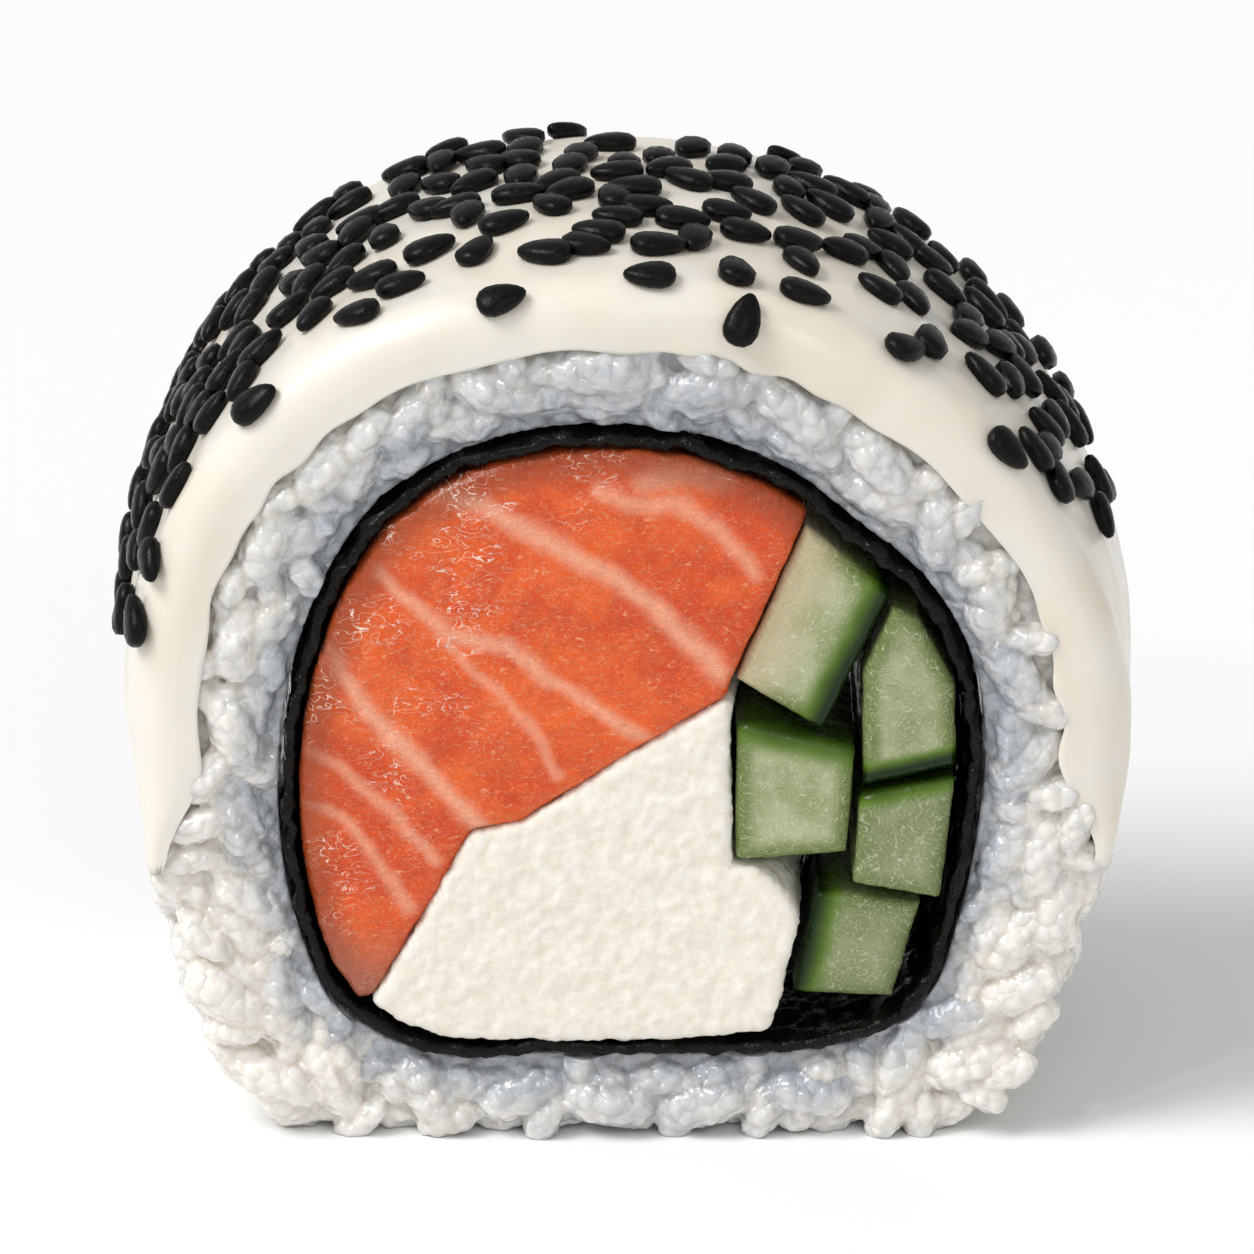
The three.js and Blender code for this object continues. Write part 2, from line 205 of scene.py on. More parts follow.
# %% Modifiers that are applied at once
def apply_modifier(piece, kind, **settings):
    deselect_all()
    piece.select_set(True)
    bpy.context.view_layer.objects.active = piece
    bpy.ops.object.modifier_add(type=kind)
    modifier = piece.modifiers[-1]
    for name, value in settings.items():
        setattr(modifier, name, value)
    bpy.ops.object.modifier_apply(modifier=modifier.name)


def roughen(piece, pattern, grain, height, middle=0.5):
    texture = bpy.data.textures.new(f"{piece.name}_{pattern.lower()}", pattern)
    texture.noise_scale = grain * MM
    apply_modifier(piece, "DISPLACE", texture=texture, strength=height * MM, mid_level=middle)


def grow(piece, amount):
    apply_modifier(piece, "DISPLACE", strength=amount * MM, mid_level=0)


def fine_skin(piece, voxel, smoothing):
    apply_modifier(piece, "REMESH", mode="VOXEL", voxel_size=voxel * MM, use_smooth_shade=True)
    apply_modifier(piece, "SMOOTH", factor=0.5, iterations=smoothing)


print("modifier helpers ready")

# %% Start from a solid, and hand a finished piece over
def start_from(node, name):
    deselect_all()
    piece = bpy.data.objects.new(name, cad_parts[node].data.copy())
    bpy.context.scene.collection.objects.link(piece)
    piece.data.materials.clear()
    piece.select_set(True)
    bpy.context.view_layer.objects.active = piece
    bpy.ops.object.mode_set(mode="EDIT")
    bpy.ops.mesh.select_all(action="SELECT")
    bpy.ops.mesh.remove_doubles(threshold=1e-6)
    bpy.ops.object.mode_set(mode="OBJECT")
    return piece


def hand_over(piece, material, slot, *nodes):
    deselect_all()
    piece.select_set(True)
    bpy.context.view_layer.objects.active = piece
    bpy.ops.object.shade_smooth()
    piece.data.materials.clear()
    piece.data.materials.append(material)
    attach(piece, "root")
    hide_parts(*nodes)
    triangles = sum(len(face.vertices) - 2 for face in piece.data.polygons)
    print(piece.name, "has", triangles, "triangles")


# %% [markdown]
# ## Shader building blocks
# Wet food shares a few effects: small unevenness that breaks up the shine, and thin pale fibres. Each is
# built once as a node group, with its inputs named, and placed in every material that needs it.

# %% Node helpers
def fill_input(tree, socket, value):
    if isinstance(value, bpy.types.NodeSocket):
        tree.links.new(value, socket)
    elif value is not None:
        socket.default_value = value


def maths(tree, operation, *values):
    node = tree.nodes.new("ShaderNodeMath")
    node.operation = operation
    for socket, value in zip(node.inputs, values):
        fill_input(tree, socket, value)
    return node.outputs[0]


def vectors(tree, operation, *values):
    node = tree.nodes.new("ShaderNodeVectorMath")
    node.operation = operation
    for socket, value in zip(node.inputs, values):
        fill_input(tree, socket, value)
    return node.outputs["Value" if operation in ("DOT_PRODUCT", "LENGTH", "DISTANCE") else "Vector"]


def mixed(tree, amount, first, second):
    node = tree.nodes.new("ShaderNodeMix")
    node.data_type = "RGBA"
    fill_input(tree, node.inputs[0], amount)
    fill_input(tree, node.inputs[6], first)
    fill_input(tree, node.inputs[7], second)
    return node.outputs[2]


def between(tree, value, low, high, new_low=0.0, new_high=1.0, curve="SMOOTHSTEP"):
    node = tree.nodes.new("ShaderNodeMapRange")
    node.interpolation_type = curve
    for socket, setting in zip(node.inputs, (value, low, high, new_low, new_high)):
        fill_input(tree, socket, setting)
    return node.outputs[0]


def cloudy(tree, position, scale, detail=2.0, roughness=0.5, distortion=0.0):
    node = tree.nodes.new("ShaderNodeTexNoise")
    settings = {"Vector": position, "Scale": scale, "Detail": detail, "Roughness": roughness}
    settings["Distortion"] = distortion
    for name, value in settings.items():
        fill_input(tree, node.inputs[name], value)
    return node.outputs[0]


def scaled(tree, vector, share):
    node = tree.nodes.new("ShaderNodeVectorMath")
    node.operation = "SCALE"
    fill_input(tree, node.inputs["Vector"], vector)
    fill_input(tree, node.inputs["Scale"], share)
    return node.outputs[0]


def in_millimetres(tree):
    return scaled(tree, tree.nodes.new("ShaderNodeTexCoord").outputs["Object"], 1 / MM)


def kept_number(tree, name):
    node = tree.nodes.new("ShaderNodeAttribute")
    node.attribute_name = name
    return node.outputs["Fac"]


def veiled(tree, mask, strength, under, over):
    return mixed(tree, maths(tree, "MULTIPLY", mask, strength), under, over)


def start_material(name):
    material = bpy.data.materials.new(name)
    material.use_nodes = True
    tree = material.node_tree
    return material, tree, tree.nodes["Principled BSDF"], in_millimetres(tree)


def set_finish(tree, shader, **values):
    for name, value in values.items():
        fill_input(tree, shader.inputs[name.replace("_", " ")], value)


def raised(tree, shader, height, distance):
    bump = tree.nodes.new("ShaderNodeBump")
    bump.inputs["Distance"].default_value = distance * MM
    fill_input(tree, bump.inputs["Height"], height)
    fill_input(tree, shader.inputs["Normal"], bump.outputs[0])


print("node helpers ready")

# %% Node groups
def start_group(name, inputs, outputs):
    tree = bpy.data.node_groups.new(name, "ShaderNodeTree")
    for label, kind, value in inputs:
        socket = tree.interface.new_socket(label, in_out="INPUT", socket_type=kind)
        if value is not None:
            socket.default_value = value
    for label, kind in outputs:
        tree.interface.new_socket(label, in_out="OUTPUT", socket_type=kind)
    return tree, tree.nodes.new("NodeGroupInput").outputs, tree.nodes.new("NodeGroupOutput").inputs


def place_group(tree, group, **values):
    node = tree.nodes.new("ShaderNodeGroup")
    node.node_tree = group
    for name, value in values.items():
        fill_input(tree, node.inputs[name.replace("_", " ")], value)
    return node.outputs


FLOAT = "NodeSocketFloat"
VECTOR = "NodeSocketVector"

moist, given, made = start_group(
    "moist_film",
    [("Position", VECTOR, None), ("Grain", FLOAT, 1.0), ("Shine", FLOAT, 0.2), ("Dull", FLOAT, 0.45)],
    [("Roughness", FLOAT), ("Height", FLOAT)],
)
drops = cloudy(moist, given["Position"], maths(moist, "DIVIDE", 1.0, given["Grain"]), 3.0, 0.6)
moist.links.new(between(moist, drops, 0.35, 0.65, given["Shine"], given["Dull"]), made["Roughness"])
moist.links.new(drops, made["Height"])

fibres, given, made = start_group(
    "fine_fibres",
    [("Position", VECTOR, None), ("Scale", FLOAT, 1.0), ("Width", FLOAT, 0.03), ("Wander", FLOAT, 1.0)],
    [("Mask", FLOAT)],
)
field = cloudy(fibres, given["Position"], given["Scale"], 1.0, 0.5, given["Wander"])
off_line = maths(fibres, "ABSOLUTE", maths(fibres, "SUBTRACT", field, 0.5))
fibres.links.new(between(fibres, off_line, 0.0, given["Width"], 1.0, 0.0), made["Mask"])

seam_line, given, made = start_group(
    "pale_seam",
    [
        ("Position", VECTOR, None),
        ("Start", VECTOR, None),
        ("End", VECTOR, None),
        ("Half Width", FLOAT, 0.4),
    ],
    [("Mask", FLOAT)],
)
along = vectors(seam_line, "SUBTRACT", given["End"], given["Start"])
reached = vectors(seam_line, "SUBTRACT", given["Position"], given["Start"])
share = maths(
    seam_line,
    "DIVIDE",
    vectors(seam_line, "DOT_PRODUCT", reached, along),
    vectors(seam_line, "DOT_PRODUCT", along, along),
)
share = between(seam_line, share, 0.0, 1.0, curve="LINEAR")
off_seam = vectors(seam_line, "DISTANCE", reached, scaled(seam_line, along, share))
seam_line.links.new(between(seam_line, off_seam, 0.0, given["Half Width"], 1.0, 0.0), made["Mask"])
print("groups:", moist.name, fibres.name, seam_line.name)

# %% [markdown]
# ## The creamy cover
# On the real piece this is a thick, smooth layer that was laid over the top and pressed down the sides,
# where it thins out. It could be lofted from many sections; here one flat cross-section is spun round the
# roll, as a potter would run a template, and then every point is moved out to the roll's real outline.
# Its inner edge wanders a little, because it was pressed down on lumpy rice.

# %% Cover shape
COVER_THICK = 2.8
COVER_LIP = 0.35
COVER_RIGHT_END = -16
COVER_LEFT_END = 197
COVER_TAPER = 13
COVER_RIM = 1.9
COVER_BED = 0.45
COVER_EDGE_WAVE = 0.22
SPIN_RADIUS = 25
SPIN_STEPS = 190


def cover_thickness(degrees):
    turned = (np.asarray(degrees, float) + 90) % 360 - 90
    from_end = np.minimum(turned - COVER_RIGHT_END, COVER_LEFT_END - turned)
    thick = COVER_LIP + (COVER_THICK - COVER_LIP) * smoothstep(from_end, 0, COVER_TAPER)
    return np.where(from_end < -1e-6, 0, thick)


def cover_top(degrees, y):
    rim = np.minimum(COVER_RIM, 0.7 * cover_thickness(degrees))
    into_rim = np.maximum(rim - (HALF - np.abs(y)), 0)
    drop = rim - np.sqrt(np.maximum(rim**2 - into_rim**2, 0))
    turn = np.radians(degrees)
    uneven = 0.12 * np.sin(5 * turn + 0.35 * y) + 0.08 * np.cos(9 * turn - 0.5 * y)
    return outside_radius(degrees) + swell(degrees, y) + uneven - drop


deselect_all()
bpy.ops.mesh.primitive_grid_add(
    x_subdivisions=8, y_subdivisions=76, size=1, location=(SPIN_RADIUS * MM, 0, CENTRE_HEIGHT * MM)
)
cover = bpy.context.object
cover.name = "cover_cream"
cover.scale = (COVER_THICK * MM, DEPTH * MM, 1)
bpy.ops.object.transform_apply(location=True, rotation=True, scale=True)
bpy.ops.object.mode_set(mode="EDIT")
bpy.ops.mesh.select_all(action="SELECT")
bpy.ops.mesh.spin(
    steps=SPIN_STEPS,
    angle=math.radians(COVER_LEFT_END - COVER_RIGHT_END),
    center=(0, 0, CENTRE_HEIGHT * MM),
    axis=(0, 1, 0),
)
bpy.ops.object.mode_set(mode="OBJECT")
spun, radius, y = to_round(read_points(cover))
spun = np.where(spun > 359.9, 0, spun)
degrees = spun + COVER_RIGHT_END
print("cover spun through", round(float(spun.max()), 1), "degrees")

# %% Cover pressed onto the roll, with its cuts closer together near the two rims
from_top = np.clip(0.5 + (SPIN_RADIUS - radius) / COVER_THICK, 0, 1)
y = HALF * (0.35 * y / HALF + 0.65 * np.sin(math.pi / 2 * y / HALF))
top = cover_top(degrees, y)
turn = np.radians(degrees)
edge_wave = COVER_EDGE_WAVE * np.sin(21 * turn + 3 * np.sin(5 * turn)) * np.sin(8 * turn + 1)
under = outside_radius(degrees) - cover_thickness(degrees) + swell(degrees, y) - COVER_BED + edge_wave
write_points(cover, from_round(degrees, top + (under - top) * from_top, y))
deselect_all()
cover.select_set(True)
bpy.context.view_layer.objects.active = cover
bpy.ops.object.mode_set(mode="EDIT")
bpy.ops.mesh.select_all(action="SELECT")
bpy.ops.mesh.remove_doubles(threshold=1e-6)
bpy.ops.mesh.normals_make_consistent(inside=False)
bpy.ops.object.mode_set(mode="OBJECT")
roughen(cover, "CLOUDS", 5, 0.3)
print("cover is", round(float(top.max()), 1), "mm from the centre line at most")

# %% [markdown]
# ## Finish of the cover
# Soft cheese that has been smoothed with a wet blade: warm white, a little see-through, with a satin
# shine and faint warmer patches.

# %% Cover material
CREAM = (0.79, 0.75, 0.67, 1)
WARM_CREAM = (0.76, 0.7, 0.59, 1)

cream, tree, shader, position = start_material("smooth_cream")
film = place_group(tree, moist, Position=position, Grain=2.5, Shine=0.3, Dull=0.42)
blotches = cloudy(tree, position, 0.12, 2.0)
tint = mixed(tree, between(tree, blotches, 0.4, 0.65), CREAM, WARM_CREAM)
set_finish(tree, shader, Base_Color=tint, Roughness=film["Roughness"], Coat_Weight=0.25, Coat_Roughness=0.2)
set_finish(tree, shader, Subsurface_Weight=0.35, Subsurface_Radius=(1.2, 0.9, 0.6), Subsurface_Scale=MM)
raised(tree, shader, film["Height"], 0.02)
hand_over(cover, cream, "cream_cover", "cover")

# %% [markdown]
# ## Black sesame
# Each seed is a small flattened drop, pointed at one end. One seed is modelled and copied. The seeds of
# the front rows are laid one by one, each by its angle round the roll, its depth behind the cut face and
# its turn. The rest lie thick over the top and thin out towards the cut faces and low on the sides. They
# are drawn by the same rule as on the solid, from a source of numbers that always starts alike, and a few
# more nestle between them.

# %% Where the seeds lie
SEED = {"long": 2.8, "wide": 2.1, "thick": 1.2, "narrowing": 0.55}
SOLID_SEEDS = 138
ALL_SEEDS = 184
SOLID_SPACING = 2.3
CLOSE_SPACING = 1.7
FRONT_SEEDS = [
    [105.5, 0.7, 280], [76, 0.15, 355], [87.8, 1.3, 90], [77.8, 2.8, 10], [69.2, 2.6, 280], [69.5, 6.7, 210],
    [70, 9.5, 295], [76.5, 8.8, 270], [86.8, 5, 285], [93.8, 6.3, 80], [95.2, 4.7, 250], [100, 4.2, 75],
    [104.5, 8.3, 290], [107.8, 5.6, 325], [113.2, 7.3, 280], [116.8, 4.1, 265], [84, 9, 275], [88.2, 10.2, 280],
    [78.8, 10.8, 275], [103, 12.7, 260], [55.8, 1.9, 315], [47, 9.8, 140], [40.2, 8.1, 195], [39, 0.9, 270],
    [55, 8.8, 200], [57.2, 12.7, 200], [61.5, 13.1, 300], [49.8, 14.5, 240], [51.5, 17.7, 290], [42, 20.2, 260],
    [36.5, 18.7, 240], [25, 24, 165], [23.8, 19, 220], [19.2, 14.1, 315], [21, 7.8, 230], [136.8, 1.1, 260],
    [143.2, 5, 265], [134.8, 5.8, 275], [131.2, 9.2, 290], [122.2, 2.5, 70], [120.2, 6.5, 80], [125.2, 8.4, 115],
    [140.5, 8, 295], [151, 2.9, 260], [159.2, 1.3, 155], [166.5, 1.4, 320],
]


def random_source(seed):
    state = seed

    def draw():
        nonlocal state
        state = (state + 0x6D2B79F5) & 0xFFFFFFFF
        t = ((state ^ (state >> 15)) * (1 | state)) & 0xFFFFFFFF
        t = ((t + ((t ^ (t >> 7)) * (61 | t))) & 0xFFFFFFFF) ^ t
        return ((t ^ (t >> 14)) & 0xFFFFFFFF) / 4294967296

    return draw


def seed_chance(degrees, y):
    behind = smoothstep(y + HALF, 2.5, 7.5)
    before_back = smoothstep(HALF - y, 0.8, 3)
    return behind * before_back * smoothstep(degrees, 14, 34) * (1 - smoothstep(degrees, 158, 184))


def on_cover(degrees, y):
    return Vector(from_round(degrees, cover_top(degrees, y), y))


draw = random_source(7)
places = [(degrees, behind - HALF, turn) for degrees, behind, turn in FRONT_SEEDS]
spots = [on_cover(degrees, y) for degrees, y, turn in places]
while len(places) < ALL_SEEDS:
    tried = (10 + 176 * draw(), HALF * (2 * draw() - 1), 180 * draw())
    chance = draw()
    spot = on_cover(tried[0], tried[1])
    spacing = SOLID_SPACING if len(places) < SOLID_SEEDS else CLOSE_SPACING
    clear = all((other - spot).length > spacing for other in spots)
    if clear and chance < seed_chance(tried[0], tried[1]):
        places.append(tried)
        spots.append(spot)
print(len(places), "seeds")

# %% One seed
deselect_all()
bpy.ops.mesh.primitive_uv_sphere_add(segments=10, ring_count=8, radius=0.5 * MM)
first_seed = bpy.context.object
first_seed.name = "one_seed"
points = read_points(first_seed)
lengthwise = points[:, 2].copy()
narrow = (1 - SEED["narrowing"] * (lengthwise + 0.5)) * (1 + 0.25 * (0.25 - lengthwise**2))
blunt_ended = np.sign(lengthwise) * 0.5 * np.abs(2 * lengthwise) ** 0.85
across = points[:, 0] * SEED["wide"] * narrow * 1.1
flat_topped = np.sign(points[:, 1]) * 0.5 * np.abs(2 * points[:, 1]) ** 0.7
up = flat_topped * SEED["thick"] * (1 - 0.3 * (lengthwise + 0.5))
write_points(first_seed, np.stack([across, blunt_ended * SEED["long"], up], -1))
print("a seed has", len(first_seed.data.polygons), "faces")

# %% Seeds laid on the cover
STEP = 0.3
SEED_RISE = 0.3


def lay_seed(number, degrees, y, turn):
    spot = on_cover(degrees, y)
    round_way = (on_cover(degrees + STEP, y) - spot).normalized()
    front = min(y + STEP, HALF - 0.01)
    back_way = (on_cover(degrees, front) - spot).normalized()
    out = back_way.cross(round_way).normalized()
    along = round_way * math.sin(math.radians(turn)) + back_way * math.cos(math.radians(turn))
    side = along.cross(out).normalized()
    straight = out.cross(side)
    size = 0.93 + 0.14 * ((number * 0.618) % 1)
    seed = first_seed.copy()
    seed.data = first_seed.data.copy()
    bpy.context.scene.collection.objects.link(seed)
    turned = Matrix((side, straight, out)).transposed().to_4x4()
    lift = spot + out * SEED_RISE * SEED["thick"]
    seed.matrix_world = Matrix.Translation(lift * MM) @ turned @ Matrix.Scale(size, 4)
    return seed


seeds = [lay_seed(number, *place) for number, place in enumerate(places)]
deselect_all()
for seed in seeds:
    seed.select_set(True)
first_seed.select_set(False)
bpy.context.view_layer.objects.active = seeds[0]
bpy.ops.object.join()
sesame = bpy.context.object
sesame.name = "black_sesame_seeds"
bpy.ops.object.transform_apply(location=True, rotation=True, scale=True)
bpy.data.objects.remove(first_seed)
print("seeds joined:", len(sesame.data.polygons), "faces")

# %% Sesame material
HULL_BLACK = (0.001, 0.001, 0.001, 1)
HULL_WORN = (0.005, 0.0045, 0.004, 1)

hull, tree, shader, position = start_material("black_seed_hull")
film = place_group(tree, moist, Position=position, Grain=0.35, Shine=0.24, Dull=0.42)
faded = mixed(tree, film["Height"], HULL_BLACK, HULL_WORN)
set_finish(tree, shader, Base_Color=faded, Roughness=film["Roughness"], Specular_IOR_Level=0.14)
raised(tree, shader, film["Height"], 0.04)
hand_over(sesame, hull, "black_sesame", "cover")

# %% [markdown]
# ## Rice
# Cooked sushi rice is a mass of short, swollen, half see-through grains that stick together. On the two
# cut faces they lie in rows round the nori, and under the roll they lie round its bare outside, at the
# places that the solid gives them. The outermost row comes a little forward, past the rim of the cover. A
# copy of the solid gets one smooth grain at each of those places and some smaller ones between, and a
# single skin is drawn over all of them, which melts them together as the starch does.

# %% Rows of grains on a cut face
GRAIN = {"long": 5.0, "wide": 2.6, "body": 1.5}
GRAIN_ROW = 2.5
GAP = 0.3
OUTER_ROW_FORWARD = 0.4


def grain_reach(lean):
    across = GRAIN["body"] * abs(math.sin(lean)) + GRAIN["wide"] / 2 + 0.1
    along = math.hypot(GRAIN["long"] / 2 * math.cos(lean), GRAIN["wide"] / 2 * math.sin(lean))
    return across, along


def rice_edges(degrees):
    least = float(radius_from(NORI_OUTSIDE, degrees)) + GAP
    cover = max(float(cover_thickness(degrees + aside)) for aside in (-7, 0, 7))
    return least, float(outside_radius(degrees)) - max(cover + GAP, 0.1)


def face_grains(side, draw):
    laid = []
    for row in range(3):
        degrees = 8 * row
        while degrees < 354 + 8 * row:
            lean = math.radians(76 * (draw() - 0.5))
            across, along = grain_reach(lean)
            least, most = rice_edges(degrees)
            rows = round((most - least) / GRAIN_ROW)
            wanted = least + (most - least) * (row + 0.5) / rows
            radius = max(min(wanted, most - across), least + across)
            if row < rows:
                forward = OUTER_ROW_FORWARD * (row == rows - 1)
                spot = from_round(degrees, radius, side * (HALF - 1.3 - 0.4 * draw() + forward))
                turn = math.radians(degrees + 90) + lean
                way = Vector((math.cos(turn), 0.3 * (draw() - 0.5), math.sin(turn)))
                laid.append((Vector(spot), way, 1.0))
            degrees += math.degrees(2.06 * along / radius)
    return laid


draw = random_source(21)
laid_grains = face_grains(-1, draw) + face_grains(1, draw)
print(len(laid_grains), "grains on the cut faces")

# %% Grains under the roll, and smaller ones between
UNDER_ROWS = 9
SMALL_TRIES = 2600
SMALL_SPACING = 1.7
SMALL_SIZE = 0.68


def under_grains(draw):
    laid = []
    for row in range(UNDER_ROWS):
        y = (HALF - 2.2) * (2 * row / (UNDER_ROWS - 1) - 1)
        degrees = COVER_LEFT_END + 4 + (row % 2) * 4
        while degrees < 356 + COVER_RIGHT_END:
            lean = math.radians(80 * (draw() - 0.5))
            out = Vector((math.cos(math.radians(degrees)), 0, math.sin(math.radians(degrees))))
            way = Vector((-out.z, 0, out.x)) * math.cos(lean) + Vector((0, math.sin(lean), 0))
            radius = float(outside_radius(degrees) + swell(degrees, y)) - 1.3 - 0.3 * draw()
            laid.append((Vector(from_round(degrees, radius, y + 0.6 * (draw() - 0.5))), way, 1.0))
            degrees += math.degrees(1.9 * grain_reach(lean)[1] / radius)
    return laid


def small_grains(side, draw):
    laid = []
    for attempt in range(SMALL_TRIES):
        degrees = 360 * draw()
        least = rice_edges(degrees)[0]
        most = float(outside_radius(degrees) - np.maximum(cover_thickness(degrees), 0.1))
        radius = least + 0.7 + (most - least - 1.4) * draw()
        forward = OUTER_ROW_FORWARD * (radius > most - 2)
        spot = Vector(from_round(degrees, radius, side * (HALF - 1.05 - 0.5 * draw() + forward)))
        turn = 2 * math.pi * draw()
        near = [other for other in laid_grains + laid if (other[0] - spot).length < SMALL_SPACING]
        if not near:
            laid.append((spot, Vector((math.cos(turn), 0.4 * (draw() - 0.5), math.sin(turn))), SMALL_SIZE))
    return laid


laid_grains += under_grains(draw)
laid_grains += small_grains(-1, draw) + small_grains(1, draw)
print(len(laid_grains), "grains in all")

# %% One smooth grain, and a mass of them joined to the copy of the solid
deselect_all()
bpy.ops.mesh.primitive_ico_sphere_add(subdivisions=3, radius=0.5 * MM)
first_grain = bpy.context.object
first_grain.name = "one_grain"
points = read_points(first_grain) * 2
blunt = np.sign(points[:, 0]) * np.abs(points[:, 0]) ** 0.85
sizes = np.array([GRAIN["long"], GRAIN["wide"], GRAIN["wide"]])
write_points(first_grain, np.stack([blunt, points[:, 1], points[:, 2]], -1) * sizes / 2)
grains = []
for number, (spot, way, size) in enumerate(laid_grains):
    grain = first_grain.copy()
    grain.data = first_grain.data.copy()
    bpy.context.scene.collection.objects.link(grain)
    turned = way.to_track_quat("X", "Z").to_matrix().to_4x4()
    plump = size * (0.94 + 0.12 * ((number * 0.618) % 1))
    grain.matrix_world = Matrix.Translation(spot * MM) @ turned @ Matrix.Scale(plump, 4)
    grains.append(grain)
rice_mass = start_from("rice", "rice_mass")
deselect_all()
for grain in grains:
    grain.select_set(True)
rice_mass.select_set(True)
bpy.context.view_layer.objects.active = rice_mass
bpy.ops.object.join()
bpy.data.objects.remove(first_grain)
apply_modifier(rice_mass, "REMESH", mode="VOXEL", voxel_size=0.15 * MM, use_smooth_shade=True)
print("rice mass has", len(rice_mass.data.polygons), "faces")

# %% The mass is cut into slabs, beaded all over, and kept clear of the nori and above the table
LAP = 0.4
FACE_SLAB = 3.0
RICE_SLABS = [
    ("rice_front", -HALF - 1, -HALF + FACE_SLAB, None),
    ("rice_middle", -HALF + FACE_SLAB - LAP, HALF - FACE_SLAB + LAP, 0.27),
    ("rice_back", HALF - FACE_SLAB, HALF + 1, None),
]
RICE_LIMIT = 195000


def cut_off(piece, y, keep_back):
    deselect_all()
    piece.select_set(True)
    bpy.context.view_layer.objects.active = piece
    bpy.ops.object.mode_set(mode="EDIT")
    bpy.ops.mesh.select_all(action="SELECT")
    bpy.ops.mesh.bisect(
        plane_co=(0, y * MM, 0),
        plane_no=(0, 1, 0),
        use_fill=True,
        clear_inner=keep_back,
        clear_outer=not keep_back,
        threshold=1e-7,
    )
    bpy.ops.object.mode_set(mode="OBJECT")


def thin_out(piece, limit):
    triangles = sum(len(face.vertices) - 2 for face in piece.data.polygons)
    if triangles > limit:
        apply_modifier(piece, "DECIMATE", ratio=limit / triangles)
    print(piece.name, "had", triangles, "triangles")


rice_pieces = []
for name, near, far, voxel in RICE_SLABS:
    slab = rice_mass.copy()
    slab.data = rice_mass.data.copy()
    slab.name = name
    bpy.context.scene.collection.objects.link(slab)
    cut_off(slab, near, True)
    cut_off(slab, far, False)
    if voxel:
        fine_skin(slab, voxel, 1)
    roughen(slab, "VORONOI", 0.7, -0.24, 0.65)
    degrees, radius, y = to_round(read_points(slab))
    radius = np.maximum(radius, radius_from(NORI_OUTSIDE, degrees) + GAP)
    points = from_round(degrees, radius, y)
    points[:, 2] = np.maximum(points[:, 2], 0)
    write_points(slab, points)
    thin_out(slab, RICE_LIMIT)
    rice_pieces.append(slab)
bpy.data.objects.remove(rice_mass)

# %% [markdown]
# ## Finish of the rice
# Next to the nori the grains are clear and look blue-grey, partly from their own clearness and partly from
# painted shade, and further out they turn milky and warm. How light the milky grains are on each side of the
# roll is painted light and shade. Each grain has its own tone, and the creases between grains have painted shade
# that makes them darker, and they are a little yellow. The mesh keeps two numbers for this, which the material
# reads: how milky and how lit a point is, and how deep in a crease it lies. Round beads of swollen starch give
# the wet grains their glints, and fine white threads in the colour are painted glints.

# %% Numbers kept on the rice
def keep_number(piece, name, values):
    piece.data.attributes.new(name, "FLOAT", "POINT")
    piece.data.attributes[name].data.foreach_set("value", np.ascontiguousarray(values, np.float32))


CREASE_WIDTH = 0.2
# Painted light and shade: how light the milky outer grains are on each side of the roll, darkest at the top
# under the cover rim and at the bottom.
MILK_ANGLES = [0, 45, 90, 135, 180, 225, 270, 315]
MILK_AND_LIGHT_BY_ANGLE = [0.74, 0.55, 0.26, 0.62, 0.78, 1.05, 0.42, 0.95]


def nearest_grains(points):
    nearest = np.full(len(points), 99.0)
    second = np.full(len(points), 99.0)
    tone = np.zeros(len(points))
    for number, (spot, way, size) in enumerate(laid_grains):
        reached = points - np.array(spot)
        way = np.array(way.normalized())
        share = np.clip(reached @ way, -GRAIN["body"] * size, GRAIN["body"] * size)
        away = np.linalg.norm(reached - share[:, None] * way, axis=1) - GRAIN["wide"] * size / 2
        closer = away < nearest
        second = np.where(closer, nearest, np.minimum(second, away))
        tone = np.where(closer, (number * 0.618) % 1, tone)
        nearest = np.where(closer, away, nearest)
    return second - nearest, tone


for piece in rice_pieces:
    points = read_points(piece)
    degrees, radius, y = to_round(points)
    apart, tone = nearest_grains(points)
    from_nori = radius - radius_from(NORI_OUTSIDE, degrees)
    milk_and_light_by_side = np.interp(degrees, MILK_ANGLES, MILK_AND_LIGHT_BY_ANGLE, period=360)
    keep_number(piece, "milk_and_painted_light", milk_and_light_by_side * smoothstep(from_nori + 2.2 * (tone - 0.5), 0.2, 3.6))
    # Painted shade: how deep in a crease between grains a point lies.
    keep_number(piece, "crease", np.clip(1 - apart / CREASE_WIDTH, 0, 1))
    print(piece.name, "creases cover", round(float((apart < CREASE_WIDTH).mean()), 2))

# %% Rice material
BEADS_PER_MM = 1.2
# The clear grains next to the nori are blue-grey from their clearness and darker from painted shade.
CLEAR_GRAIN_IN_SHADE = (0.43, 0.46, 0.5, 1)
MILKY_GRAIN = (0.87, 0.83, 0.77, 1)
CLEAR_CREASE_SHADE = (0.22, 0.22, 0.22, 1)
MILKY_CREASE_SHADE = (0.62, 0.54, 0.4, 1)
GLINT_WHITE = (0.94, 0.94, 0.94, 1)

cooked, tree, shader, position = start_material("cooked_rice_grains")
film = place_group(tree, moist, Position=position, Grain=0.9, Shine=0.08, Dull=0.24)
beads = tree.nodes.new("ShaderNodeTexVoronoi")
beads.inputs["Scale"].default_value = BEADS_PER_MM
tree.links.new(position, beads.inputs["Vector"])
# The milky share also carries painted light and shade for each side of the roll.
milk_and_painted_light = kept_number(tree, "milk_and_painted_light")
milk_and_painted_light = maths(tree, "ADD", milk_and_painted_light, between(tree, cloudy(tree, position, 0.9, 2.0), 0.35, 0.7, -0.12, 0.16))
